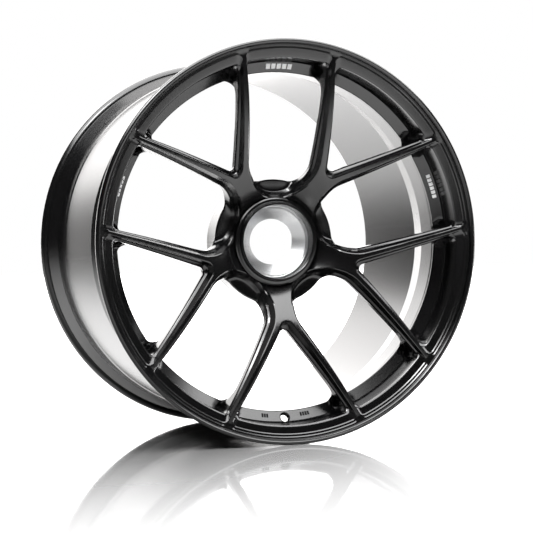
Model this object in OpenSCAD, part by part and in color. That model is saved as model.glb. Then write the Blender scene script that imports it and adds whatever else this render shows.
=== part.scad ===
// Forged centre-lock racing wheel: a twelve inch wide barrel on five Y-shaped spokes.
// The wheel stands upright. Its axle is the Y axis, and its outboard face looks towards -Y.
// Every profile below is drawn as (radius, distance outboard of the rim's centre plane).

/* [Rim] */
// Diameter over the two rim flanges
flange_d = 543; // [542:0.5:546]
// Diameter of the bead seats
seat_d = 508; // [507:0.5:510]
// Distance between the flanges, where the tyre sits
rim_w = 304.8; // [303:0.1:308]
// Thickness of each flange along the axle
flange_t = 13.1; // [12.5:0.1:14]
// Inner radius of the spoke ledge behind the lip
ledge_r = 230.3; // [228:0.1:232]
// Distance of the ledge's inner edge outboard of the centre plane
ledge_a = 115.7; // [114.5:0.1:117]
// Radius of the deep wall between the lip and the ledge
wall_r = 245.5; // [244.5:0.1:246]

/* [Barrel] */
// Inner radius of the barrel where it starts to taper
barrel_r = 241; // [240:0.1:242]
// Inner radius of the barrel at its inboard edge
mouth_r = 249.5; // [249:0.1:250]
// Wall thickness of the barrel
barrel_t = 4.4; // [4:0.1:4.8]

/* [Spokes] */
// Depth of the land below the lip's front face, at the lip
land_depth = 8; // [7.8:0.1:9]
// Half width of the trunk's land at its waist
trunk_land = 12; // [11:0.5:13]
// Half width of the trunk at the foot of its flank
trunk_flank = 16.5; // [15.5:0.5:17.5]
// Half width of the trunk's body at its waist
trunk_body = 21.5; // [20.5:0.5:22.5]
// Depth of the land above the flank
step_h = 4; // [3:0.5:5]
// Depth of the flank above the body
flank_h = 8; // [7:0.5:10]
// Radius where the trunks end and the arms begin
fork_r = 124; // [123:0.5:128]

/* [Hub] */
// Radius of the hub pad
pad_r = 86; // [84:0.5:87]
// Distance of the mounting face outboard of the centre plane
pad_a = 47; // [40:0.5:50]
// Distance of the pad's front outboard of the centre plane
pad_top = 88; // [88:0.5:88.5]
// Outer radius of the raised collar
collar_r = 60.5; // [60:0.1:61]
// Distance of the collar's front outboard of the centre plane
collar_a = 106; // [105:0.1:107]
// Outer radius of the cone seat
seat_r = 50.6; // [50:0.1:50.8]
// Radius of the hub's pilot bore
pilot_r = 42; // [41:0.05:43]
// Depth of the hub's pilot bore
pilot_l = 21; // [20:0.5:21.5]

/* [Drive bushes] */
// Pitch circle diameter of the five drive bushes
bush_pcd = 130; // [128:0.5:132]
// Outer radius of a bush
bush_r = 12; // [11:0.1:12.5]
// Bore radius of a bush
bush_bore = 8.5; // [8:0.05:9]
// Length of a bush
bush_l = 20; // [18:0.5:22]

/* [Valve hole] */
// Radius of the valve hole
valve_r = 5.65; // [5.6:0.05:5.75]
// Radius from the axle to the valve hole's centre on the ledge
valve_at = 239; // [238.8:0.1:239.2]

/* [Hidden] */
$fn = 96;

spokes = 5;
pitch = 360 / spokes;
black = [0.06, 0.06, 0.065];
grey_black = [0.12, 0.12, 0.125];
turned = [0.78, 0.79, 0.8];
steel = [0.55, 0.55, 0.56];

flange_r = flange_d / 2;
rim_seat_r = seat_d / 2;
seat_a = rim_w / 2;
face_a = seat_a + flange_t;
curl_r = 8.5;
nose_r = 4;

// Planes that split the forging into its regions, outboard to inboard
cut_ledge = 125;
cut_well = 108;
cut_barrel = 35;
cut_inboard = -88;

// Radius at which the lip's face meets the deep wall, and the lip's two steps further out
lip_r = 246.5;
lip_seam = 0.03;
nose_run_r = 266;
nose_run_a = face_a - 0.6;
lip_a = face_a - 12;
band_r = 248.5;
band_a = face_a - 11;
shelf_r = 257.5;
shelf_a = face_a - land_depth;
brow_r = 261.5;
brow_a = face_a - 6;

// The ledge meets the deep wall here, and the valve hole leans with the ledge
ledge_top = cut_ledge - 1.5;
ledge_lean = atan2(ledge_top - ledge_a, wall_r - ledge_r);
ledge_wall = 5;
wall_draft = 0.04;

// The well's outer radius and depth at its deepest, and where the hump meets the ledge's back
well_a = 70;
well_in = 234;
well_out = 238.3;
ledge_out = 234.7;
hump_r = rim_seat_r - 3.1;

// The two straight sides of an arm, drawn beside a line from (arm_u0, arm_v0) to (arm_u1, arm_v1)
arm_u0 = 108;
arm_v0 = 6;
arm_u1 = 250;
arm_v1 = 94;
arm_dir = atan2(arm_v1 - arm_v0, arm_u1 - arm_u0);
arm_len = norm([arm_u1 - arm_u0, arm_v1 - arm_v0]);

function polar(r, a) = [r * cos(a), r * sin(a)];
function arc(c, r, a0, a1, n) = [for (i = [0:n]) c + polar(r, a0 + (a1 - a0) * i / n)];
function flip(points) = [for (i = [len(points) - 1:-1:0]) [points[i].x, -points[i].y]];
function backwards(points) = [for (i = [len(points) - 1:-1:0]) points[i]];

// Point beside the arm's line: s along it, t away from the trunk's axis
function beside(s, t) = [arm_u0, arm_v0] + polar(s, arm_dir) + polar(t, arm_dir + 90);

// Elliptical dish of the spokes' front and back
function dish(r, top, width, height) = top - height * (1 - sqrt(1 - pow((258 - r) / width, 2)));
function front_a(r) = dish(r, shelf_a, 205, 84);
function back_a(r) = dish(r, shelf_a - 23, 215, 108);
function steps(r0, r1, n) = [for (i = [0:n]) r0 + (r1 - r0) * i / n];
function front_curve(r0, r1, n, drop) = [for (r = steps(r0, r1, n)) [r, front_a(r) - drop]];
function back_curve(r0, r1, n) = [for (r = steps(r0, r1, n)) [r, back_a(r)]];

// Radius at which the trunk's body comes out from under its flank
body_r0 = 76;

// Outboard lip, from its nose in to the deep wall
function lip_face() = concat(
    arc([flange_r - nose_r, face_a - nose_r], nose_r, 0, 90, 6),
    [[nose_run_r, nose_run_a], [brow_r, brow_a], [shelf_r, shelf_a], [band_r, band_a], [lip_r, lip_a]]
);

// Tyre side of a rim flange: up from the bead seat and over
function flange_back() = arc([flange_r - curl_r, seat_a + curl_r], curl_r, -90, 0, 6);

// Bead seat with its five degree slope and its safety hump
function bead_seat(length) = [
    [rim_seat_r, seat_a],
    [rim_seat_r - 20 * tan(5), seat_a - 20],
    [rim_seat_r - 0.9, seat_a - 22.5],
    [rim_seat_r - 1.3, seat_a - 25.5],
    [rim_seat_r - 2.2, seat_a - length]
];

function mirror_a(points) = [for (p = points) [p.x, -p.y]];

// Inner radius of the barrel at a distance outboard of the centre plane
function inner_r(a) = barrel_r + (cut_barrel - a) * (mouth_r - barrel_r) / (cut_barrel + 160);

module on_axle() {
    rotate([90, 0, 0]) children();
}

module turned_ring(profile) {
    on_axle() rotate_extrude($fn = 180) polygon(profile);
}

module outboard_flange() {
    color(black) turned_ring(concat(
        [[lip_r - lip_seam, seat_a], [rim_seat_r, seat_a]],
        flange_back(),
        lip_face()
    ));
}

module outboard_bead_seat() {
    color(black) turned_ring(concat(
        bead_seat(26.6),
        [[hump_r, cut_ledge], [wall_r + wall_draft, cut_ledge], [lip_r - lip_seam, seat_a]]
    ));
}

module spoke_ledge() {
    lean = ledge_lean;
    color(black) on_axle() difference() {
        rotate_extrude($fn = 180) polygon([
            [wall_r + wall_draft, cut_ledge],
            [wall_r, ledge_top],
            [ledge_r, ledge_a],
            [ledge_r + 0.15, ledge_a - 3.2],
            [ledge_r + 0.4, cut_well],
            [ledge_out, cut_well],
            [ledge_out + 0.9, cut_well + 2.4],
            [wall_r + ledge_wall * sin(lean), ledge_top - ledge_wall * cos(lean)],
            [hump_r - 1.6, cut_ledge - 4.5],
            [hump_r, cut_ledge]
        ]);
        valve_cut(valve_r, 12, 30);
    }
}

// Cylinder along the valve hole's axis, from above the ledge's face to below it
module valve_cut(r, above, below) {
    face = ledge_a + (valve_at - ledge_r) * tan(ledge_lean);
    translate([0, -valve_at, face])
        rotate([-ledge_lean, 0, 0])
            translate([0, 0, -below])
                cylinder(r = r, h = above + below);
}

module drop_centre_well() {
    color(black) turned_ring([
        [ledge_r + 0.4, cut_well],
        [well_in, well_a],
        [barrel_r, cut_barrel],
        [barrel_r + barrel_t, cut_barrel],
        [well_out, well_a],
        [ledge_out, cut_well]
    ]);
}

module barrel() {
    color(black) turned_ring([
        [barrel_r, cut_barrel],
        [inner_r(cut_inboard), cut_inboard],
        [inner_r(cut_inboard) + barrel_t, cut_inboard],
        [barrel_r + barrel_t, cut_barrel]
    ]);
}

module inboard_bead_seat() {
    color(black) turned_ring(concat(
        [[inner_r(cut_inboard) + barrel_t, cut_inboard], [inner_r(cut_inboard), cut_inboard]],
        [[inner_r(-seat_a), -seat_a]],
        mirror_a(bead_seat(59))
    ));
}

module inboard_flange() {
    color(black) turned_ring(concat(
        [[inner_r(-seat_a), -seat_a], [rim_seat_r, -seat_a]],
        mirror_a(flange_back()),
        mirror_a(arc([flange_r - nose_r, face_a - nose_r], nose_r, 0, 90, 6)),
        [[262, 1.5 - face_a], [255, 3.5 - face_a], [mouth_r + 1, 4.5 - face_a], [mouth_r, 6 - face_a]]
    ));
}

// Waist curve of a Y: an arc that is tangent to the arm's straight side at direction dir.
// The side passes through the point p, and the arc comes within half of the trunk's axis.
function waist(half, rho, p, dir, end) = let (
    nu = -sin(dir),
    nv = cos(dir),
    uc = p.x + (rho - (half + rho - p.y) * nv) / nu,
    c = [uc, half + rho]
) concat(arc(c, rho, end, -90, 10), arc(c, rho, -90, dir - 90, 6));

// Notch between the arms: from the right arm's inner side, round the apex, to the axis
function notch(p, dir, r) = let (
    u0 = p.x - p.y / tan(dir),
    c = [u0 + r / sin(dir), 0]
) arc(c, r, dir + 90, 180, 6);

// Half of a Y's outline, v > 0: waist, straight outer side, lip end, straight inner side, apex
function half_y(half, rho, hub_angle, out, in, apex) = let (
    p0 = beside(60, out[0]),
    p1 = beside(arm_len, out[1]),
    q0 = beside(60, in[0]),
    q1 = beside(arm_len, in[1]),
    out_dir = atan2(p1.y - p0.y, p1.x - p0.x),
    in_dir = atan2(q1.y - q0.y, q1.x - q0.x)
) concat(
    waist(half, rho, p0, out_dir, hub_angle),
    [p1 + polar(14, out_dir), q1 + polar(14, in_dir)],
    notch(q0, in_dir, apex)
);

function land_half() = half_y(trunk_land, 55, -125, [6.4, 7.6], [2.2, 4.4], 11.9);
function flank_half() = half_y(trunk_flank, 45, -118, [9.4, 9.2], [-1, 2.6], 9.5);
function body_half() = half_y(trunk_body, 35, -112, [13.6, 10.6], [-5, 0.6], 7.5);

// Full outline of a Y, closed towards the axle at core_u, which lies under the hub collar
core_u = 40;
module y_outline(half) {
    half_outline(half);
    mirror([0, 1]) half_outline(half);
}

module half_outline(half) {
    polygon(concat([[core_u, 0], [core_u, half[0].y]], half));
}

// Slice of a spoke between an upper and a lower profile, cut to an outline
module slice(upper, lower) {
    intersection() {
        rotate_extrude($fn = 180) polygon(concat(upper, backwards(lower)));
        linear_extrude(face_a) children();
    }
}

// A trunk steps down from its land to its flank and its body, and stands on the hub pad
module trunk(k) {
    n = 10;
    land = front_curve(collar_r, fork_r, n, 0);
    flank = front_curve(collar_r, fork_r, n, step_h);
    body = concat(
        [[collar_r, pad_top], [body_r0, pad_top]],
        front_curve(body_r0, fork_r, n, step_h + flank_h)
    );
    back = concat([[body_r0, pad_top], [pad_r, pad_top]], back_curve(pad_r + 5, fork_r, 4));
    color(black) on_axle() rotate([0, 0, 270 + pitch * k]) {
        slice(land, flank) y_outline(land_half());
        slice(flank, body) y_outline(flank_half());
        slice([for (i = [1:len(body) - 1]) body[i]], back) y_outline(body_half());
    }
}

// An arm runs from the fork to the lip, and its foot stands on the ledge
module arm(k, side) {
    n = 8;
    reach = 240;
    wall_foot = 140;
    tuck = 0.6;
    heel = ledge_r - 14;
    land = front_curve(fork_r, shelf_r, n, 0);
    flank = concat(front_curve(fork_r, reach, n, step_h), [[lip_r, lip_a]]);
    body = concat(front_curve(fork_r, reach, n, step_h + flank_h), [[wall_r + tuck, wall_foot]]);
    foot = [[ledge_r - 4, ledge_a + 5], [ledge_r, ledge_a], [wall_r, ledge_top]];
    back = concat(back_curve(fork_r, heel, 5), foot);
    color(grey_black) on_axle() rotate([0, 0, 270 + pitch * k]) mirror([0, side < 0 ? 1 : 0]) {
        slice(land, concat(flank, [[band_r, band_a]])) half_outline(land_half());
        slice(flank, body) half_outline(flank_half());
        slice(body, back) half_outline(body_half());
    }
}

module hub_collar() {
    color(black) turned_ring([
        [seat_r, pad_top],
        [seat_r, collar_a - 0.8],
        [seat_r + 0.8, collar_a],
        [53.4, collar_a],
        [54.2, collar_a - 0.8],
        [54.6, collar_a - 3],
        [58, collar_a - 5],
        [collar_r, collar_a - 7.5],
        [collar_r, pad_top]
    ]);
}

module hub_pad() {
    color(grey_black) on_axle() difference() {
        rotate_extrude($fn = 180) polygon([
            [pilot_r, pad_a],
            [pilot_r, pad_a + pilot_l],
            [seat_r, pad_a + pilot_l],
            [seat_r, pad_top],
            [pad_r, pad_top],
            [pad_r, pad_a + 3],
            [pad_r - 3, pad_a]
        ]);
        at_bushes() cylinder(r = bush_r, h = bush_l);
        at_bushes() cylinder(r = bush_bore, h = bush_l + 5);
    }
}

// Places its children on each drive bush's axis, starting at the mounting face
module at_bushes() {
    for (k = [0:spokes - 1]) at_bush(k) children();
}

module at_bush(k) {
    rotate([0, 0, 270 + pitch * (k + 0.5)]) translate([bush_pcd / 2, 0, pad_a]) children();
}

module cone_seat() {
    base = pad_a + pilot_l;
    rim_top = 91;
    cone_r = 45.8;
    throat_r = 31.4;
    throat_a = 77;
    color(turned) turned_ring([
        [seat_r, base],
        [seat_r, rim_top],
        [cone_r + 3, rim_top],
        [cone_r + 2.2, rim_top - 2],
        [cone_r + 0.6, rim_top - 2],
        [cone_r, rim_top - 3],
        [throat_r, throat_a],
        [throat_r, throat_a - 1.5],
        [throat_r + 4.6, base + 2],
        [pilot_r - 1, base]
    ]);
}

module drive_bush(k) {
    color(steel) on_axle() at_bush(k) difference() {
        cylinder(r = bush_r, h = bush_l);
        translate([0, 0, -1]) cylinder(r = bush_bore, h = bush_l + 2);
    }
}

outboard_flange();
outboard_bead_seat();
spoke_ledge();
drop_centre_well();
barrel();
inboard_bead_seat();
inboard_flange();
trunk(0);  // trunk_1
trunk(1);  // trunk_2
trunk(2);  // trunk_3
trunk(3);  // trunk_4
trunk(4);  // trunk_5
arm(0, -1);  // arm_1_left
arm(0, 1);  // arm_1_right
arm(1, -1);  // arm_2_left
arm(1, 1);  // arm_2_right
arm(2, -1);  // arm_3_left
arm(2, 1);  // arm_3_right
arm(3, -1);  // arm_4_left
arm(3, 1);  // arm_4_right
arm(4, -1);  // arm_5_left
arm(4, 1);  // arm_5_right
hub_collar();
hub_pad();
cone_seat();
drive_bush(0);  // drive_bush_1
drive_bush(1);  // drive_bush_2
drive_bush(2);  // drive_bush_3
drive_bush(3);  // drive_bush_4
drive_bush(4);  // drive_bush_5
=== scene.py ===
"""A satin black forged racing wheel rim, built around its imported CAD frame.

Profiles are (radius, outboard) in millimetres, where outboard counts from the rim's centre plane
towards -Y. Plans are (u, v), with u along a spoke's axis and v across it.
"""

import math

import bmesh
import bpy
from mathutils import Matrix, Vector
from mathutils.geometry import delaunay_2d_cdt


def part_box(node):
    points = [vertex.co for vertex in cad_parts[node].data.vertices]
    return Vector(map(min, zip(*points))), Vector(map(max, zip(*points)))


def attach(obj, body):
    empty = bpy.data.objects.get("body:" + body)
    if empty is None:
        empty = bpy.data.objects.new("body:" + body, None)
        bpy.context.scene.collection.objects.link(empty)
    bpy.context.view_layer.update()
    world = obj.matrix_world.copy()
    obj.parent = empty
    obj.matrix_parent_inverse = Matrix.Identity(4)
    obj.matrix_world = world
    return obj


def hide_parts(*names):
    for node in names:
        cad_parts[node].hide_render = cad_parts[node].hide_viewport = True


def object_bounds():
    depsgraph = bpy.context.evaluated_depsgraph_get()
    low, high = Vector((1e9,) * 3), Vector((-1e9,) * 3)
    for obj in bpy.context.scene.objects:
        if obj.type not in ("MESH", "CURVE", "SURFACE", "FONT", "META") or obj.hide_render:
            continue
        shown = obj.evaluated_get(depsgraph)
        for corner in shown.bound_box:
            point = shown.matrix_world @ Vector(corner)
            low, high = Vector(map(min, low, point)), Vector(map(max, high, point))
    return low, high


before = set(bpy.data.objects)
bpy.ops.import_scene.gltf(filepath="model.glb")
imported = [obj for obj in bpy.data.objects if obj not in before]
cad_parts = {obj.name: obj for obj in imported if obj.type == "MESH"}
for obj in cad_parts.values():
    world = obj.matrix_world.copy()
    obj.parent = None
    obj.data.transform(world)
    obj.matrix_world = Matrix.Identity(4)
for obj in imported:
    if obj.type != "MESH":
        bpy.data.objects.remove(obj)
cad_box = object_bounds()

MM = 0.001
SPOKES = 5
HALF = math.pi / SPOKES
FIRST_AXIS = math.radians(270)
SEGMENTS = 360


def face_of(node):
    """Distance of a node's outboard face from the centre plane, in millimetres."""
    return -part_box(node)[0].y / MM


def back_of(node):
    """Distance of a node's inboard face from the centre plane, which is positive outboard."""
    return -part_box(node)[1].y / MM


def radius_of(node):
    """Outer radius of a node that is turned about the axle."""
    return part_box(node)[1].x / MM


# ---- Sizes, in millimetres ----

FLANGE_R = radius_of("outboard_flange")
FACE_A = face_of("outboard_flange")
BEAD_R = radius_of("outboard_bead_seat")
BEAD_A = face_of("outboard_bead_seat")
COLLAR_R = radius_of("hub_collar")
COLLAR_A = face_of("hub_collar")
PAD_R = radius_of("hub_pad")
PAD_A = back_of("hub_pad")
PAD_TOP = face_of("hub_pad")
SEAT_R = radius_of("cone_seat")
SEAT_TOP = face_of("cone_seat")
BUSH_L = face_of("drive_bush_1") - back_of("drive_bush_1")
BUSH_R = 12.0
BUSH_BORE = 8.5
BUSH_PCD = 130.0
PILOT_R = 42.0
PILOT_L = 21.0

# Planes that split the barrel into rings
CUT_WELL = back_of("spoke_ledge")
CUT_BARREL = back_of("drop_centre_well")
CUT_INBOARD = back_of("barrel")

# Rim lip: its shelf, its brow, and the steps from the brow to the nose
SHELF = (258.0, FACE_A - 7.7)
BROW = (262.0, FACE_A - 6)
NOSE_STEPS = [
    (BROW[0] + 0.6, BROW[1] + 0.1), (263.7, FACE_A - 5.7), (264.5, FACE_A - 2.2),
    (265.5, FACE_A - 1.0), (266.6, FACE_A - 0.5),
]
CURL_R = 8.5
NOSE_R = 4.0

# Ledge behind the lip: its inner edge, the height and the lean of its face, and the valve hole
LEDGE_EDGE = (230.3, 115.2)
LEDGE_A = 115.7
LEDGE_LEAN = math.atan2(7.8, 15.2)
VALVE_AT = 239.0
VALVE_R = 5.65
VALVE_SINK = 1.8

# Bead seats: their slope, and their drop to the drop centre. Barrel: its inner radius behind
# the drop centre, its wall, its taper, and its outer radius where the drop centre starts
SEAT_SLOPE = math.radians(5)
SEAT_DROP = 2.2
BARREL_R = 241.0
BARREL_WALL = 4.4
BARREL_TAPER = 8.5 / 195
WELL_OUTER = 234.7

# Radii where the spokes' sheet meets the turned profiles
COLLAR_SEAM = COLLAR_R - 0.3
LEDGE_SEAM = LEDGE_EDGE[0] + 0.6
WELL_INNER = LEDGE_EDGE[0] + 0.7

# Spokes' dish: the land and the back follow ellipses that peak at this radius, and each is
# (height of the peak, half width, half height)
DISH_R = 258.0
LAND_DISH = (SHELF[1], 205.0, 84.0)
BACK_DISH = (SHELF[1] - 23, 215.0, 108.0)
BODY_DEPTH = 19.5

# Behind the spokes: where an arm's foot begins to drop to the ledge and how sharply it curves,
# how steeply the ledge's back falls away, and the pad's side with its fillet
FOOT_R = 206.0
FOOT_CURVE = 1.8
LEDGE_FALL = 2.8
PAD_SIDE = 85.2
PAD_FILLET = 10.0
FILLET_SHARE = 0.96

# The arm's line, from near the waist to the lip, and how far along it the fork is
ARM_A = (108.0, 6.0)
ARM_B = (250.0, 94.0)
FORK_AT = 60.0


# ---- Small geometry helpers ----

def smooth(t):
    t = min(1.0, max(0.0, t))
    return t * t * (3 - 2 * t)


def mix(a, b, t):
    return a + (b - a) * t


def polar(r, angle):
    return Vector((r * math.cos(angle), r * math.sin(angle)))


def arc(centre, r, start, end, count):
    """count + 1 points along an arc."""
    return [centre + polar(r, mix(start, end, i / count)) for i in range(count + 1)]


def straight(a, b, count):
    return [a.lerp(b, i / count) for i in range(count + 1)]


def rounded(corners, count=4):
    """A profile with its corners rounded. Each corner is (radius, outboard) or has a third
    number, the rounding's radius."""
    points = []
    for i, corner in enumerate(corners):
        p = Vector(corner[:2])
        if len(corner) == 2 or i in (0, len(corners) - 1):
            points.append(p)
            continue
        before = (Vector(corners[i - 1][:2]) - p).normalized()
        after = (Vector(corners[i + 1][:2]) - p).normalized()
        half = before.angle(after) / 2
        reach = corner[2] / math.tan(half)
        centre = p + (before + after).normalized() * (corner[2] / math.sin(half))
        start = p + before * reach - centre
        end = p + after * reach - centre
        sweep = start.angle_signed(end)
        for k in range(count + 1):
            angle = -sweep * k / count
            points.append(centre + Matrix.Rotation(angle, 2) @ start)
    return points


# ---- Heights of the forging's front and back ----

def dish(r, shape):
    """Height of one of the two ellipses at a radius."""
    top, width, height = shape
    return top - height * (1 - math.sqrt(max(0.0, 1 - ((DISH_R - r) / width) ** 2)))


def land(r):
    """Front of the spokes, which runs up the lip's slope past the shelf."""
    if r < SHELF[0]:
        return dish(r, LAND_DISH)
    start, end = (SHELF, BROW) if r < BROW[0] else (BROW, NOSE_STEPS[0])
    return mix(start[1], end[1], (r - start[0]) / (end[0] - start[0]))


def back(r):
    """Back of the spokes, filleted into the pad's side and into the ledge."""
    a = dish(r, BACK_DISH)
    near = FILLET_SHARE * PAD_FILLET - (r - PAD_SIDE)
    if near > 0:
        a -= PAD_FILLET - math.sqrt(max(0.0, PAD_FILLET ** 2 - near ** 2))
    if r > LEDGE_EDGE[0]:
        return LEDGE_EDGE[1] - LEDGE_FALL * (r - LEDGE_EDGE[0])
    if r > FOOT_R:
        drop = dish(LEDGE_EDGE[0], BACK_DISH) - LEDGE_EDGE[1]
        a -= drop * ((r - FOOT_R) / (LEDGE_EDGE[0] - FOOT_R)) ** FOOT_CURVE
    return a


# ---- Plans of the spokes ----

class Plan:
    """Outline of one level of a Y: half width and radius of the waist, distances of the arm's
    outer and inner side from the arm's line near the fork and at the lip, radius of the fork."""

    def __init__(self, half, waist, outer, inner, fork):
        self.half = half
        self.waist = waist
        self.outer = outer
        self.inner = inner
        self.fork = fork

    def grown(self, d):
        outer = [t + d for t in self.outer]
        inner = [t - d for t in self.inner]
        return Plan(self.half + d, self.waist - d, outer, inner, self.fork - d)

    def towards(self, other, t):
        outer = [mix(a, b, t) for a, b in zip(self.outer, other.outer)]
        inner = [mix(a, b, t) for a, b in zip(self.inner, other.inner)]
        return Plan(
            mix(self.half, other.half, t), mix(self.waist, other.waist, t),
            outer, inner, mix(self.fork, other.fork, t),
        )


LAND = Plan(12.0, 55.0, (6.4, 7.6), (2.2, 4.4), 11.9)
BODY = Plan(21.7, 35.0, (13.7, 12.1), (-5.8, 0.0), 6.5)

# Round the hub: radius of the hollow between two spokes, fillet between the pad and a trunk,
# how far out the hub's heights reach, and how many points the curve round the hub has
POCKET_R = 69.2
PAD_BLEND = 20.0
PAD_EDGE = PAD_R - 0.7
HUB_RUN = 26.0
HUB_STEPS = 56

# How many points a window's corner at the rim has
CORNER_STEPS = 9


def arm_side(offsets):
    """Point and direction of an arm's side."""
    a, b = Vector(ARM_A), Vector(ARM_B)
    along = (b - a).normalized()
    away = Vector((-along.y, along.x))
    p = a + along * FORK_AT + away * offsets[0]
    q = a + along * (b - a).length + away * offsets[1]
    return p, (q - p).normalized()


def flare(p, along, into, rim_r, r):
    """Fillet from an arm's side onto a circle about the axle, inside the window."""
    base = p + into * r
    reach = rim_r - r
    half = base.dot(along)
    s = -half + math.sqrt(half ** 2 - base.length_squared + reach ** 2)
    centre = base + along * s
    start = math.atan2(-into.y, -into.x)
    end = math.atan2(centre.y, centre.x)
    return arc(centre, r, start, end, CORNER_STEPS)


def window_v(plan, level):
    """Half of a fork's window, from the fork's apex round to the middle of the rim.
    Each point is (place, share of the hub's height, share of the rim's height)."""
    p, along = arm_side(plan.inner)
    angle = math.atan2(along.y, along.x)
    centre = Vector((p.x - p.y / math.tan(angle) + plan.fork / math.sin(angle), 0))
    apex = arc(centre, plan.fork, math.pi, angle + math.pi / 2, 8)
    into = Vector((along.y, -along.x))
    corner = flare(p, along, into, level.rim[0], level.flare)
    side = straight(apex[-1], corner[0], 36)
    end = math.atan2(corner[-1].y, corner[-1].x)
    rim = arc(Vector((0, 0)), level.rim[0], end, 0, 20)
    loop = [(q, 0, 0) for q in apex[:-1] + side[:-1]]
    loop += [(q, 0, smooth(i / CORNER_STEPS)) for i, q in enumerate(corner[:-1])]
    return loop + [(q, 0, 1) for q in rim]


def along_curve(points, count):
    """count + 1 points spaced evenly along a polyline."""
    lengths = [0.0]
    for a, b in zip(points, points[1:]):
        lengths.append(lengths[-1] + (b - a).length)
    out = []
    k = 0
    for i in range(count + 1):
        target = lengths[-1] * i / count
        while k < len(points) - 2 and lengths[k + 1] < target:
            k += 1
        span = lengths[k + 1] - lengths[k]
        out.append(points[k].lerp(points[k + 1], min(1.0, (target - lengths[k]) / span)))
    return out


def hub_curve(plan, hub_r, fillet):
    """Curve from the middle of the hub, round the trunk's waist, to the arm's straight side.
    With a fillet it follows a circle about the axle first. Without one it is a hollow sweep."""
    p, along = arm_side(plan.outer)
    into = Vector((-along.y, along.x))
    rise = plan.half + plan.waist
    waist_c = Vector((p.x + (plan.waist - (rise - p.y) * into.y) / into.x, rise))
    tangent = math.atan2(-into.y, -into.x) + math.tau
    if fillet:
        far = waist_c.length
        reach = hub_r + fillet
        gap = plan.waist - fillet
        turn = math.acos((far ** 2 + reach ** 2 - gap ** 2) / (2 * far * reach))
        centre = polar(reach, math.atan2(waist_c.y, waist_c.x) - turn)
        start = math.atan2(centre.y, centre.x)
        leave = centre - waist_c
        join = math.atan2(leave.y, leave.x) % math.tau
        points = arc(Vector((0, 0)), hub_r, HALF, start, 40)
        points += arc(centre, fillet, start + math.pi, join, 40)[1:]
    else:
        middle = polar(1, HALF)
        m = waist_c.dot(middle)
        e = waist_c.x * middle.y - waist_c.y * middle.x
        sweep = hub_r + plan.waist
        c = (sweep ** 2 - m ** 2 - e ** 2) / (2 * (sweep - m))
        leave = waist_c - middle * c
        join = math.atan2(leave.y, leave.x) % math.tau
        points = arc(middle * c, c - hub_r, HALF + math.pi, join, 80)
    points += arc(waist_c, plan.waist, join, tangent, 60)[1:]
    return points


def window_u(plan, level):
    """Half of the window between two spokes, from the middle of the hub to the middle of the
    rim, with the same three values for each point."""
    if 0 < level.lobe < 1:
        hollow = along_curve(hub_curve(BODY, POCKET_R, 0), HUB_STEPS)
        lobed = along_curve(hub_curve(BODY, PAD_EDGE, PAD_BLEND), HUB_STEPS)
        hub = [a.lerp(b, level.lobe) for a, b in zip(hollow, lobed)]
    else:
        hub = along_curve(hub_curve(plan, level.hub[0], level.fillet), HUB_STEPS)
    p, along = arm_side(plan.outer)
    into = Vector((-along.y, along.x))
    corner = flare(p, along, into, level.rim[0], level.flare)
    side = straight(hub[-1], corner[0], 34)
    end = math.atan2(corner[-1].y, corner[-1].x)
    rim = arc(Vector((0, 0)), level.rim[0], end, HALF, 12)
    start = hub[0].length

    def hub_share(q):
        return smooth(1 - (q.length - start) / HUB_RUN)

    loop = [(q, hub_share(q), 0) for q in hub[:-1]]
    loop += [(q, 0, 0) for q in side[:-1]]
    loop += [(q, 0, smooth(i / CORNER_STEPS)) for i, q in enumerate(corner[:-1])]
    return loop + [(q, 0, 1) for q in rim]


def thinning(r):
    """The spokes' steps get shallower from the waist to the lip."""
    return mix(1, 0.6, smooth((r - 95) / 130))


class Level:
    """One ring of points round a window, counted from the front. depth is below the land, or
    share is the way from the body's top to the back. rim and hub are (radius, outboard), and
    lobe is how far the hub's curve has gone from the hollow sweep to the pad's lobe."""

    def __init__(self, plan, rim, flare, hub, fillet=0, lobe=0, depth=None, share=None):
        self.plan = plan
        self.rim = rim
        self.flare = flare
        self.hub = hub
        self.fillet = fillet
        self.lobe = lobe
        self.depth = depth
        self.share = share

    def height(self, r, hub_share, rim_share):
        top = dish(r, LAND_DISH)
        if self.depth is not None:
            a = land(r) - self.depth * thinning(r)
        else:
            a = mix(top - BODY_DEPTH * thinning(r), back(r), self.share)
        a = mix(a, self.hub[1], hub_share)
        return mix(a, self.rim[1], rim_share)


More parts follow.
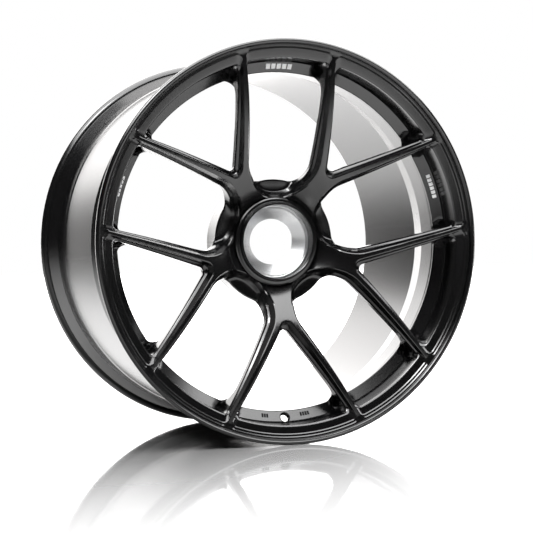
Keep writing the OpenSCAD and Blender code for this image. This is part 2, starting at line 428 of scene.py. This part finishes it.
def window_levels():
    """Levels from the land's edge, over its chamfers and down its side, across the body's
    shoulder, and along the body's side to the back of the spokes."""
    def step(t):
        return LAND.towards(BODY, t)

    return [
        Level(LAND, (BROW[0] - 0.1, 0), 8, (61.2, 0), 0.4, depth=0),
        Level(step(0.05), (260.7, 158.2), 8, (61.4, 96.7), 0.7, depth=0.2),
        Level(step(0.10), (258.1, 157.9), 8, (61.65, 96.3), 1.0, depth=0.4),
        Level(step(0.15), (256.9, 156.7), 8, (61.9, 96.0), 1.2, depth=0.6),
        Level(step(0.46), (248.9, 154.9), 7, (64.0, 92.6), depth=11.5),
        Level(step(0.53), (247.3, 154.1), 7, (64.6, 91.7), depth=12.6),
        Level(step(0.8), (246.5, 153.2), 7, (67.4, 89.6), depth=14.4),
        Level(step(0.88), (246.3, 152), 7.5, (68.4, 88.8), depth=15.2),
        Level(step(0.96), (246.2, 149), 7.5, (POCKET_R, 88.3), depth=16.6),
        Level(BODY, (246.1, 145), 8, (73, 88.2), lobe=0.22, depth=17.6),
        Level(BODY, (246.0, 141), 8, (78, 88.7), lobe=0.55, depth=18.4),
        Level(BODY, (245.9, 137), 8, (83, 89.5), lobe=0.87, depth=19),
        Level(BODY, (245.9, 134), 8.5, (PAD_EDGE, 89.3), PAD_BLEND, 1, depth=BODY_DEPTH),
        Level(BODY, (245.8, 130), 8.5, (PAD_R - 0.2, 88.2), PAD_BLEND, 1, share=0.14),
        Level(BODY, (245.7, 127), 9, (PAD_R - 0.03, 87.3), PAD_BLEND, 1, share=0.32),
        Level(BODY, (245.3, 125), 10, (PAD_R - 0.02, 87.1), PAD_BLEND, 1, share=0.5),
        Level(BODY, (244.0, 122.73), 11, (PAD_R, 87.0), PAD_BLEND, 1, share=0.66),
        Level(BODY, (238.5, 119.9), 13, (PAD_R, 86.95), PAD_BLEND, 1, share=0.8),
        Level(BODY.grown(-0.5), (231.0, 116.06), 10, (PAD_R, 86.9), PAD_BLEND, 1, share=0.93),
        Level(BODY.grown(-1.8), LEDGE_EDGE, 9, (PAD_R, 0), PAD_BLEND, 1, share=1),
    ]


# ---- The forging's mesh, made as one wedge of 36 degrees ----

class Sheet:
    """Vertices (x, z, outboard) and faces, in millimetres."""

    def __init__(self):
        self.verts = []
        self.faces = []

    def add(self, verts, faces):
        base = len(self.verts)
        self.verts += verts
        self.faces += [[base + i for i in f] for f in faces]

    def strip(self, loops):
        """Quads between loops that have the same number of points."""
        n = len(loops[0])
        faces = []
        for j in range(len(loops) - 1):
            for i in range(n - 1):
                a = j * n + i
                faces.append([a, a + 1, a + n + 1, a + n])
        self.add([p for loop in loops for p in loop], faces)

    def turned(self, profile, closed=False):
        """A profile turned about the axle."""
        n = len(profile)
        verts = []
        for k in range(SEGMENTS):
            angle = math.tau * k / SEGMENTS
            verts += [(r * math.cos(angle), r * math.sin(angle), a) for r, a in profile]
        faces = []
        for k in range(SEGMENTS):
            nxt = (k + 1) % SEGMENTS
            for i in range(n if closed else n - 1):
                j = (i + 1) % n
                faces.append([k * n + i, k * n + j, nxt * n + j, nxt * n + i])
        self.add(verts, faces)

    def five_spokes(self, wedge):
        """A wedge and its mirror image, once for each spoke."""
        for k in range(SPOKES):
            angle = FIRST_AXIS + 2 * HALF * k
            c, s = math.cos(angle), math.sin(angle)
            for side in (1, -1):
                verts = [
                    (u * c - v * side * s, u * s + v * side * c, a) for u, v, a in wedge.verts
                ]
                self.add(verts, wedge.faces)

    def to_object(self, name):
        """A mesh in metres, closed where the sheet's borders meet."""
        mesh = bpy.data.meshes.new(name)
        mesh.from_pydata([(x * MM, -a * MM, z * MM) for x, z, a in self.verts], [], self.faces)
        bm = bmesh.new()
        bm.from_mesh(mesh)
        bmesh.ops.remove_doubles(bm, verts=bm.verts, dist=0.004 * MM)
        bmesh.ops.dissolve_degenerate(bm, edges=bm.edges, dist=0.0005 * MM)
        bmesh.ops.recalc_face_normals(bm, faces=bm.faces)
        bm.to_mesh(mesh)
        bm.free()
        return linked(name, mesh)


def linked(name, data):
    """An object in the scene for a mesh, a light or a camera."""
    obj = bpy.data.objects.new(name, data)
    bpy.context.scene.collection.objects.link(obj)
    return obj


def shade(obj, sharp):
    """Smooth shading, except at edges over sharp degrees."""
    obj.data.shade_smooth()
    obj.data.set_sharp_from_angle(angle=math.radians(sharp))
    weighted = obj.modifiers.new("weighted", "WEIGHTED_NORMAL")
    weighted.keep_sharp = True
    weighted.weight = 60


def soften_pockets(obj):
    """Smooths the shallow edges of the hollows round the hub, below the land's chamfers."""
    inner, outer = 62.5, 105
    chamfers = 1.0
    shallow = math.radians(50)
    bm = bmesh.new()
    bm.from_mesh(obj.data)
    for edge in bm.edges:
        radii = [math.hypot(v.co.x, v.co.z) / MM for v in edge.verts]
        if edge.smooth or min(radii) < inner or max(radii) > outer:
            continue
        if all(-v.co.y / MM < land(r) - chamfers for v, r in zip(edge.verts, radii)):
            edge.smooth = edge.calc_face_angle(0) < shallow
    bm.to_mesh(obj.data)
    bm.free()


def inside(q, polygon):
    """Whether a point lies in a polygon."""
    hit = False
    for a, b in zip(polygon, polygon[1:] + polygon[:1]):
        if (a.y > q.y) != (b.y > q.y) and q.x < a.x + (b.x - a.x) * (q.y - a.y) / (b.y - a.y):
            hit = not hit
    return hit


def clear_of(q, polygon, gap):
    """Whether a point is more than a gap away from all of a polygon's corners."""
    return all((q - p).length > gap for p in polygon)


def patch(polygon, rings, gap, height):
    """A triangulated sheet inside a plan polygon, with extra points along rings of the given
    radii, lifted to height(radius)."""
    extra = []
    for index, (r, pitch) in enumerate(rings):
        count = max(2, round(r * HALF / pitch))
        for i in range(count + 1):
            q = polar(r, HALF * (i + 0.5 * (index % 2)) / count)
            if inside(q, polygon) and clear_of(q, polygon, gap * pitch):
                extra.append(q)
    n = len(polygon)
    edges = [(i, (i + 1) % n) for i in range(n)]
    found = delaunay_2d_cdt(polygon + extra, edges, [], 1, 1e-6)
    verts = [(q.x, q.y, height(q.length)) for q in found[0]]
    return verts, [list(f) for f in found[2]]


def circle_points(r):
    """Points one degree apart on a circle, over half the angle between two spokes."""
    return [polar(r, math.radians(i)) for i in range(round(math.degrees(HALF)) + 1)]


def ring_radii(start, end, first, pitch):
    """Radii of interior rings with their pitch, which grows from first to pitch."""
    growth = 40
    row_height = 0.87
    rings = []
    r = start
    while r < end:
        here = mix(first, pitch, min(1.0, (r - start) / growth))
        rings.append((r, here))
        r += here * row_height
    return rings


def forging_wedge():
    """Half of a spoke, from its axis to the middle of the window beside it: the sides of the
    two windows, and the front and the back between them."""
    levels = window_levels()
    v_loops = [window_v(level.plan, level) for level in levels]
    u_loops = [window_u(level.plan, level) for level in levels]
    wedge = Sheet()

    def raised(loops):
        front, *between, rear = zip(levels, loops)
        out = [[(q.x, q.y, land(q.length)) for q, _, _ in front[1]]]
        for level, loop in between:
            out.append([(q.x, q.y, level.height(q.length, h, w)) for q, h, w in loop])
        return out + [[(q.x, q.y, back(q.length)) for q, _, _ in rear[1]]]

    wedge.strip(raised(v_loops))
    wedge.strip(raised(u_loops))

    def ends(index, inner, outer):
        """Plan polygon between the two windows' loops of one level."""
        v = [q for q, _, _ in v_loops[index]]
        u = [q for q, _, _ in u_loops[index]]
        axis = straight(Vector((inner, 0)), v[0], 24)[1:-1]
        return circle_points(inner)[::-1] + axis + v + circle_points(outer) + u[::-1]

    front = ends(0, COLLAR_SEAM, NOSE_STEPS[0][0])
    wedge.add(*patch(front, ring_radii(COLLAR_R + 0.5, BROW[0], 1.3, 3.0), 0.55, land))
    rear = ends(-1, PAD_SIDE, LEDGE_SEAM)
    wedge.add(*patch(rear, ring_radii(PAD_SIDE + 0.4, 230, 1.3, 3.5), 0.5, back))
    return wedge


def bead_side(length, sign=1):
    """Bead seat from its flange, over its hump, to where it meets the drop centre."""
    points = [
        (BEAD_R, BEAD_A, 1.5),
        (BEAD_R - 20 * math.tan(SEAT_SLOPE), BEAD_A - 20, 3),
        (BEAD_R - 0.9, BEAD_A - 22.5, 2),
        (BEAD_R - 1.3, BEAD_A - 25.5, 2),
        (BEAD_R - SEAT_DROP, BEAD_A - length, 3),
    ]
    return [(r, sign * a, fillet) for r, a, fillet in points]


def flange_side():
    """Tyre side of the outboard flange, from the nose down to the bead seat."""
    curl = arc(Vector((FLANGE_R - CURL_R, BEAD_A + CURL_R)), CURL_R, 0, -math.pi / 2, 12)
    centre = Vector((FLANGE_R - NOSE_R, FACE_A - NOSE_R))
    return arc(centre, NOSE_R, math.pi / 2, 0, 8) + curl


def outer_profile():
    """Outside of the outboard rim, from the lip's slope round to the well's inner wall."""
    flange = flange_side()
    tail = rounded([
        flange[-1], *bead_side(26.6)[1:], (249.3, 120.5, 3), (247.8, 119.0, 3),
        (235.6, 110.4, 2), (WELL_OUTER, CUT_WELL),
    ])
    inner = [(WELL_INNER, CUT_WELL), (LEDGE_SEAM, back(LEDGE_SEAM))]
    return [*NOSE_STEPS, *[tuple(p) for p in flange + tail[1:]], *inner]


def hub_profile():
    """Inside and back of the hub, from under the collar round to the pad's side."""
    base = PAD_A + PILOT_L
    return rounded([
        (COLLAR_SEAM, land(COLLAR_SEAM)), (COLLAR_SEAM, PAD_TOP + 2), (SEAT_R, PAD_TOP + 2),
        (SEAT_R, base), (PILOT_R, base),
        (PILOT_R, PAD_A, 1.2), (PAD_R - 2.8, PAD_A, 1.5), (PAD_SIDE - 0.5, PAD_A + 3, 1.5),
        (PAD_SIDE, back(PAD_SIDE)),
    ])


def spun(name, profile, place, count, closed):
    """A solid turned from (radius, height) about its own axis. A closed profile makes a ring,
    and an open one gets flat ends."""
    bm = bmesh.new()
    rings = []
    for r, h in profile:
        rings.append([bm.verts.new((*polar(r, math.tau * i / count), h)) for i in range(count)])
    following = rings[1:] + rings[:1] if closed else rings[1:]
    for low, high in zip(rings, following):
        for i in range(count):
            j = (i + 1) % count
            bm.faces.new([low[i], low[j], high[j], high[i]])
    if not closed:
        bm.faces.new(rings[0][::-1])
        bm.faces.new(rings[-1])
    bmesh.ops.recalc_face_normals(bm, faces=bm.faces)
    bmesh.ops.scale(bm, verts=bm.verts, vec=(MM, MM, MM))
    bmesh.ops.transform(bm, verts=bm.verts, matrix=place)
    mesh = bpy.data.meshes.new(name)
    bm.to_mesh(mesh)
    bm.free()
    return linked(name, mesh)


def place_at(x, z, outboard, direction):
    """Matrix whose Z axis points along direction, from a point given in millimetres."""
    turn = Vector(direction).to_track_quat("Z", "Y").to_matrix().to_4x4()
    return Matrix.Translation((x * MM, -outboard * MM, z * MM)) @ turn


def bush_place(k):
    """Where a drive bush's axis meets the mounting face, between two spokes."""
    spot = polar(BUSH_PCD / 2, FIRST_AXIS + 2 * HALF * (k + 0.5))
    return place_at(spot.x, spot.y, PAD_A, (0, -1, 0))


def ledge_height(r):
    return LEDGE_A + (r - LEDGE_EDGE[0]) * math.tan(LEDGE_LEAN)


def hole_cutters():
    """Solids for the valve hole with its countersink, and for the bushes' stepped holes."""
    lean = Vector((0, -math.cos(LEDGE_LEAN), math.sin(LEDGE_LEAN)))
    valve = place_at(0, -VALVE_AT, ledge_height(VALVE_AT), lean)
    wide = VALVE_R + VALVE_SINK
    profile = [(VALVE_R, -30), (VALVE_R, -1.4), (wide, -0.1), (wide, 4)]
    tools = [spun("cut_valve", profile, valve, 64, False)]
    steps = [(BUSH_R, -1), (BUSH_R, BUSH_L), (BUSH_BORE, BUSH_L), (BUSH_BORE, BUSH_L + 5)]
    for k in range(SPOKES):
        tools.append(spun(f"cut_bush_{k + 1}", steps, bush_place(k), 64, False))
    return tools


def cut(obj, tools):
    """Cuts the tools out of obj, and removes them."""
    for tool in tools:
        boolean = obj.modifiers.new(tool.name, "BOOLEAN")
        boolean.operation = "DIFFERENCE"
        boolean.solver = "EXACT"
        boolean.object = tool
    evaluated = obj.evaluated_get(bpy.context.evaluated_depsgraph_get())
    mesh = bpy.data.meshes.new_from_object(evaluated)
    obj.modifiers.clear()
    obj.data = mesh
    mesh.name = obj.name
    for tool in tools:
        bpy.data.objects.remove(tool)


def forged_centre():
    """The spokes with the hub pad and the outboard rim, in one piece as they are forged."""
    sheet = Sheet()
    sheet.five_spokes(forging_wedge())
    sheet.turned(outer_profile())
    sheet.turned(hub_profile())
    obj = sheet.to_object("forged_centre")
    cut(obj, hole_cutters())
    shade(obj, 22)
    soften_pockets(obj)
    spokes = [f"trunk_{k + 1}" for k in range(SPOKES)]
    spokes += [f"arm_{k + 1}_{side}" for k in range(SPOKES) for side in ("left", "right")]
    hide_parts("outboard_flange", "outboard_bead_seat", "spoke_ledge", "hub_pad", *spokes)
    return obj


def ring(name, corners):
    """A closed ring about the axle, from its profile's corners."""
    points = rounded([*corners, corners[0]])[:-1]
    sheet = Sheet()
    sheet.turned(points, closed=True)
    obj = sheet.to_object(name)
    shade(obj, 24)
    return obj


def barrel_inner(a):
    """Inner radius of the barrel, which widens towards its inboard mouth."""
    return BARREL_R + (CUT_BARREL - a) * BARREL_TAPER


def barrel_rings():
    """The barrel behind the spokes, in three rings from the ledge to the inboard flange."""
    outer = BARREL_R + BARREL_WALL
    well = ring("drop_centre", [
        (WELL_INNER, CUT_WELL), (234.2, 70, 8), (BARREL_R, CUT_BARREL),
        (outer, CUT_BARREL), (238.5, 70, 8), (WELL_OUTER, CUT_WELL),
    ])
    seam = barrel_inner(CUT_INBOARD)
    sleeve = ring("barrel_sleeve", [
        (BARREL_R, CUT_BARREL), (seam, CUT_INBOARD),
        (seam + BARREL_WALL, CUT_INBOARD), (outer, CUT_BARREL),
    ])
    mouth = barrel_inner(-BEAD_A)
    nose = Vector((FLANGE_R - NOSE_R, -FACE_A + NOSE_R))
    curl = Vector((FLANGE_R - CURL_R, -BEAD_A - CURL_R))
    inboard = ring("inboard_rim", [
        (seam, CUT_INBOARD), (mouth, -BEAD_A),
        (249.5, -FACE_A + 6, 1.5), (251, -FACE_A + 4.3, 1.5), (255, -FACE_A + 3.5, 2),
        (262, -FACE_A + 1.5, 3), (266, -FACE_A + 0.5, 2),
        *[tuple(p) for p in arc(nose, NOSE_R, -math.pi / 2, 0, 8)],
        *[tuple(p) for p in arc(curl, CURL_R, 0, math.pi / 2, 12)],
        *bead_side(59, -1)[1:-1],
        (BEAD_R - SEAT_DROP, CUT_INBOARD - 6, 3), (seam + BARREL_WALL, CUT_INBOARD),
    ])
    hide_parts("drop_centre_well")
    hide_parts("barrel")
    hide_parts("inboard_bead_seat", "inboard_flange")
    return [well, sleeve, inboard]


def hub_ring():
    """The raised collar round the wheel nut, with its grooves."""
    collar = ring("nut_collar", [
        (SEAT_R, PAD_TOP), (SEAT_R, COLLAR_A - 0.6, 0.3), (51.3, COLLAR_A, 0.4),
        (53.2, COLLAR_A, 0.5), (54.2, COLLAR_A - 1.4, 0.3), (54.7, COLLAR_A - 5.0, 0.8),
        (57.3, COLLAR_A - 5.4, 0.4), (58.4, COLLAR_A - 5.5, 0.2), (60.2, COLLAR_A - 6.6, 0.2),
        (COLLAR_R, COLLAR_A - 10, 0.5), (COLLAR_R, PAD_TOP),
    ])
    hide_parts("hub_collar")
    return collar


def nut_cone():
    """The bare seat that the wheel nut's cone bears on."""
    base = PAD_A + PILOT_L
    cone = ring("nut_cone", [
        (SEAT_R, base), (SEAT_R, SEAT_TOP, 0.3), (48.9, SEAT_TOP, 0.4), (48.2, SEAT_TOP - 2, 0.3),
        (46.6, SEAT_TOP - 2, 0.3), (45.8, SEAT_TOP - 2.7, 0.4), (31.4, 77, 0.5),
        (31.4, 75.3, 0.4), (36, base + 2, 0.4), (PILOT_R - 1, base),
    ])
    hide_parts("cone_seat")
    return cone


def bush(k):
    """A steel bush for one drive pin, pressed in from the mounting face."""
    corners = rounded([
        (BUSH_BORE, 0.1), (BUSH_BORE, BUSH_L), (BUSH_R, BUSH_L), (BUSH_R, 0.1, 0.8),
        (BUSH_BORE, 0.1, 1.2), (BUSH_BORE, 2),
    ])
    obj = spun(f"pin_bush_{k + 1}", corners[1:-1], bush_place(k), 72, True)
    shade(obj, 40)
    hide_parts(f"drive_bush_{k + 1}")
    return obj


def printed_marks(name, start, end, bars, low, high):
    """Plain bars printed on the ledge, between two angles in degrees and two radii."""
    proud, sunk = 0.06, -0.3
    gap = 0.12
    steps = 6
    sheet = Sheet()
    pitch = (end - start) / bars
    for b in range(bars):
        a0 = math.radians(start + pitch * (b + gap))
        a1 = math.radians(start + pitch * (b + 1 - gap))
        loops = []
        for r, lift in ((low, sunk), (low, proud), (high, proud), (high, sunk), (low, sunk)):
            loop = []
            for i in range(steps + 1):
                q = polar(r, mix(a0, a1, i / steps))
                loop.append((q.x, q.y, ledge_height(r) + lift))
            loops.append(loop)
        sheet.strip(loops)
        n = steps + 1
        base = len(sheet.verts) - len(loops) * n
        sheet.faces.append([base + j * n for j in range(4)])
        sheet.faces.append([base + j * n + steps for j in range(4)])
    obj = sheet.to_object(name)
    shade(obj, 30)
    return obj


# ---- Materials ----

def material(name):
    """A new node material, with its nodes and its links."""
    mat = bpy.data.materials.new(name)
    mat.use_nodes = True
    return mat, mat.node_tree.nodes, mat.node_tree.links


def noise(nodes, links, scale, detail):
    """A cloud texture fixed to the object."""
    coords = nodes.new("ShaderNodeTexCoord")
    texture = nodes.new("ShaderNodeTexNoise")
    texture.inputs["Scale"].default_value = scale
    texture.inputs["Detail"].default_value = detail
    links.new(coords.outputs["Object"], texture.inputs["Vector"])
    return texture.outputs["Fac"]


def spread(nodes, links, source, low, high):
    """Maps a texture's middle range to low..high."""
    node = nodes.new("ShaderNodeMapRange")
    node.inputs["From Min"].default_value = 0.3
    node.inputs["From Max"].default_value = 0.7
    node.inputs["To Min"].default_value = low
    node.inputs["To Max"].default_value = high
    links.new(source, node.inputs["Value"])
    return node.outputs["Result"]


def tinted(nodes, links, source, dark, light, start=0.0, end=1.0):
    """Colours from dark to light, as a texture goes from start to end."""
    tone = nodes.new("ShaderNodeValToRGB")
    for element, place, colour in zip(tone.color_ramp.elements, (start, end), (dark, light)):
        element.position = place
        element.color = (*colour, 1)
    links.new(source, tone.inputs["Fac"])
    return tone.outputs["Color"]


def satin_black():
    mat, nodes, links = material("satin_black")
    shader = nodes["Principled BSDF"]
    shader.inputs["Specular IOR Level"].default_value = 0.7
    cloud = noise(nodes, links, 30, 4)
    dark, light = (0.0012, 0.0012, 0.0013), (0.0024, 0.0024, 0.0026)
    links.new(tinted(nodes, links, cloud, dark, light, 0.3, 0.7), shader.inputs["Base Color"])
    grain = noise(nodes, links, 900, 2)
    links.new(spread(nodes, links, grain, 0.17, 0.19), shader.inputs["Roughness"])
    return mat


def turned_aluminium():
    """Bare metal with the fine rings that a lathe leaves, and highlights drawn out by them."""
    mat, nodes, links = material("turned_aluminium")
    shader = nodes["Principled BSDF"]
    shader.inputs["Metallic"].default_value = 1.0
    shader.inputs["Anisotropic"].default_value = 0.8
    coords = nodes.new("ShaderNodeTexCoord")
    rings = nodes.new("ShaderNodeTexWave")
    rings.wave_type = "RINGS"
    rings.rings_direction = "Y"
    rings.inputs["Scale"].default_value = 900
    rings.inputs["Distortion"].default_value = 0.6
    rings.inputs["Detail"].default_value = 3
    links.new(coords.outputs["Object"], rings.inputs["Vector"])
    cloud = noise(nodes, links, 60, 3)
    dark, light = (0.60, 0.61, 0.63), (0.72, 0.72, 0.71)
    links.new(tinted(nodes, links, cloud, dark, light), shader.inputs["Base Color"])
    links.new(spread(nodes, links, rings.outputs["Fac"], 0.26, 0.32), shader.inputs["Roughness"])
    bump = nodes.new("ShaderNodeBump")
    bump.inputs["Strength"].default_value = 0.15
    bump.inputs["Distance"].default_value = 0.00002
    links.new(rings.outputs["Fac"], bump.inputs["Height"])
    links.new(bump.outputs["Normal"], shader.inputs["Normal"])
    tangent = nodes.new("ShaderNodeTangent")
    tangent.direction_type = "RADIAL"
    tangent.axis = "Y"
    links.new(tangent.outputs["Tangent"], shader.inputs["Tangent"])
    return mat


def ground_steel():
    mat, nodes, links = material("ground_steel")
    shader = nodes["Principled BSDF"]
    shader.inputs["Metallic"].default_value = 1.0
    shader.inputs["Base Color"].default_value = (0.42, 0.42, 0.43, 1)
    grain = noise(nodes, links, 500, 4)
    links.new(spread(nodes, links, grain, 0.25, 0.4), shader.inputs["Roughness"])
    return mat


def white_print():
    mat, nodes, links = material("white_print")
    shader = nodes["Principled BSDF"]
    grain = noise(nodes, links, 700, 3)
    dark, light = (0.72, 0.72, 0.72), (0.85, 0.85, 0.85)
    links.new(tinted(nodes, links, grain, dark, light), shader.inputs["Base Color"])
    links.new(spread(nodes, links, grain, 0.4, 0.55), shader.inputs["Roughness"])
    return mat


def matte_black():
    mat, nodes, links = material("matte_black")
    shader = nodes["Principled BSDF"]
    shader.inputs["Base Color"].default_value = (0.01, 0.01, 0.01, 1)
    shader.inputs["Specular IOR Level"].default_value = 0.1
    grain = noise(nodes, links, 700, 3)
    links.new(spread(nodes, links, grain, 0.7, 0.85), shader.inputs["Roughness"])
    return mat


def remapped(nodes, links, source, low, high, top):
    """Maps low..high to 0..top."""
    node = nodes.new("ShaderNodeMapRange")
    node.inputs["From Min"].default_value = low
    node.inputs["From Max"].default_value = high
    node.inputs["To Max"].default_value = top
    links.new(source, node.inputs["Value"])
    return node.outputs["Result"]


def gloss_floor():
    """A glossy pale floor with a painted shadow, a dark band under the wheel. It is darker in
    front than behind, and painted light makes it paler at the right.
    """
    # Painted shade: the floor's greys from front to rear, darkest in a band under the wheel.
    floor_greys_painted_shade = [(0.13, 0.42), (0.43, 0.13), (0.54, 0.13), (0.62, 0.8)]
    mat, nodes, links = material("gloss_floor")
    shader = nodes["Principled BSDF"]
    coords = nodes.new("ShaderNodeTexCoord")
    split = nodes.new("ShaderNodeSeparateXYZ")
    links.new(coords.outputs["Object"], split.inputs["Vector"])
    tone = nodes.new("ShaderNodeValToRGB")
    tone.color_ramp.elements.new(0.5)
    tone.color_ramp.elements.new(0.6)
    for element, (place, grey) in zip(tone.color_ramp.elements, floor_greys_painted_shade):
        element.position = place
        element.color = (grey, grey, grey, 1)
    depth = remapped(nodes, links, split.outputs["Y"], -1.0, 1.0, 1.0)
    links.new(depth, tone.inputs["Fac"])
    # Painted light: the floor is mixed towards white at its right.
    across = remapped(nodes, links, split.outputs["X"], -0.2, 0.15, 0.2)
    paler = nodes.new("ShaderNodeMix")
    paler.data_type = "RGBA"
    paler.inputs[7].default_value = (1, 1, 1, 1)
    links.new(across, paler.inputs[0])
    links.new(tone.outputs["Color"], paler.inputs[6])
    links.new(paler.outputs[2], shader.inputs["Base Color"])
    grain = noise(nodes, links, 6, 2)
    links.new(spread(nodes, links, grain, 0.03, 0.05), shader.inputs["Roughness"])
    return mat


# ---- Camera, light and floor ----

def add_camera():
    """The camera looks at the wheel's centre from its front left, level with the axle."""
    azimuth = math.radians(-20.06)
    elevation = math.radians(-0.04)
    roll = math.radians(-0.85)
    distance = 2.22367
    data = bpy.data.cameras.new("camera")
    camera = linked("camera", data)
    back_dir = Vector((
        math.sin(azimuth) * math.cos(elevation),
        -math.cos(azimuth) * math.cos(elevation),
        math.sin(elevation),
    ))
    camera.location = back_dir * distance
    turn = (-back_dir).to_track_quat("-Z", "Y").to_matrix()
    camera.rotation_euler = (turn @ Matrix.Rotation(roll, 3, "Z")).to_euler()
    data.lens = 104.89
    data.sensor_width = 36
    data.shift_x = 0.0272
    data.shift_y = -0.0462
    data.dof.use_dof = False
    bpy.context.scene.camera = camera


def add_world():
    """The camera sees a white backdrop. The light comes from behind the wheel, hardly any of it
    from the left, and the front half is dark."""
    world = bpy.data.worlds.new("studio")
    world.use_nodes = True
    nodes, links = world.node_tree.nodes, world.node_tree.links
    coords = nodes.new("ShaderNodeTexCoord")
    split = nodes.new("ShaderNodeSeparateXYZ")
    links.new(coords.outputs["Generated"], split.inputs["Vector"])

    def ramp(source, low, high, start, end):
        node = nodes.new("ShaderNodeMapRange")
        node.interpolation_type = "SMOOTHSTEP"
        node.inputs["From Min"].default_value = low
        node.inputs["From Max"].default_value = high
        node.inputs["To Min"].default_value = start
        node.inputs["To Max"].default_value = end
        links.new(source, node.inputs["Value"])
        return node.outputs["Result"]

    both = nodes.new("ShaderNodeMath")
    both.operation = "MULTIPLY_ADD"
    both.inputs[2].default_value = 0.03
    links.new(ramp(split.outputs["Y"], 0.1, 0.8, 0.0, 1.0), both.inputs[0])
    links.new(ramp(split.outputs["X"], -0.30, -0.245, 0.03, 3.9), both.inputs[1])
    background = nodes["Background"]
    background.inputs["Color"].default_value = (1.0, 0.985, 0.975, 1)
    links.new(both.outputs["Value"], background.inputs["Strength"])
    backdrop = nodes.new("ShaderNodeBackground")
    backdrop.inputs["Color"].default_value = (1, 1, 1, 1)
    path = nodes.new("ShaderNodeLightPath")
    either = nodes.new("ShaderNodeMixShader")
    links.new(path.outputs["Is Camera Ray"], either.inputs[0])
    links.new(background.outputs[0], either.inputs[1])
    links.new(backdrop.outputs[0], either.inputs[2])
    links.new(either.outputs[0], nodes["World Output"].inputs["Surface"])
    bpy.context.scene.world = world


def soft_box(name, place, target, size, power):
    """An area light in metres and watts, which the camera doesn't see."""
    data = bpy.data.lights.new(name, "AREA")
    data.shape = "RECTANGLE"
    data.size, data.size_y = size
    data.energy = power
    light = linked(name, data)
    light.location = place
    light.rotation_euler = (Vector(target) - light.location).to_track_quat("-Z", "Y").to_euler()
    light.visible_camera = False


def add_lights():
    """A wide ceiling over the wheel's front, a strip above its front left, and a small box far
    to its right."""
    soft_box("ceiling", (0.45, -0.65, 1.7), (0.45, -0.65, 0), (4.4, 3.0), 280)
    soft_box("strip", (-0.95, -1.0, 1.66), (0, -0.1, -0.1), (0.7, 0.5), 22)
    soft_box("right_box", (2.4, -0.5, -0.15), (0, 0, 0), (0.4, 0.5), 12)


def add_floor():
    """A slab that the wheel stands on, a hair below its flanges."""
    side, thick, gap = 24, 0.02, 0.0001
    top = cad_box[0].z - gap
    bm = bmesh.new()
    bmesh.ops.create_cube(bm, size=1)
    bmesh.ops.scale(bm, verts=bm.verts, vec=(side, side, thick))
    bmesh.ops.translate(bm, verts=bm.verts, vec=(0, 0, top - thick / 2))
    mesh = bpy.data.meshes.new("floor")
    bm.to_mesh(mesh)
    bm.free()
    floor = linked("floor", mesh)
    floor.data.materials.append(gloss_floor())


# ---- Assembly ----

def finish_piece(obj, mat):
    """Coats a piece, and fixes it to the wheel's only body."""
    obj.data.materials.clear()
    obj.data.materials.append(mat)
    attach(obj, "root")


def build():
    """Every piece of the wheel itself."""
    black = satin_black()
    for piece in [forged_centre(), hub_ring(), *barrel_rings()]:
        finish_piece(piece, black)
    finish_piece(nut_cone(), turned_aluminium())
    steel = ground_steel()
    for k in range(SPOKES):
        finish_piece(bush(k), steel)


def print_ledge():
    """Bars in place of the print on the ledge, pale ones, and dark ones beside the valve hole.
    Each row is (name, start, end, bars, inner radius, outer radius)."""
    marks = [
        ("ledge_mark_top", 85.6, 95, 5, 235, 241.5),
        ("ledge_mark_left", 158, 165, 5, 236, 241),
        ("ledge_mark_right", 14, 22.5, 6, 236, 241),
    ]
    stamps = [
        ("ledge_stamp_left", 261.8, 264.3, 3, 234.5, 239.5),
        ("ledge_stamp_right", 275.3, 278.7, 4, 234.5, 239.5),
    ]
    for coat, rows in ((white_print(), marks), (matte_black(), stamps)):
        for row in rows:
            finish_piece(printed_marks(*row), coat)


build()
print_ledge()
bpy.context.scene.view_settings.view_transform = "Standard"
add_camera()
add_world()
add_lights()
add_floor()
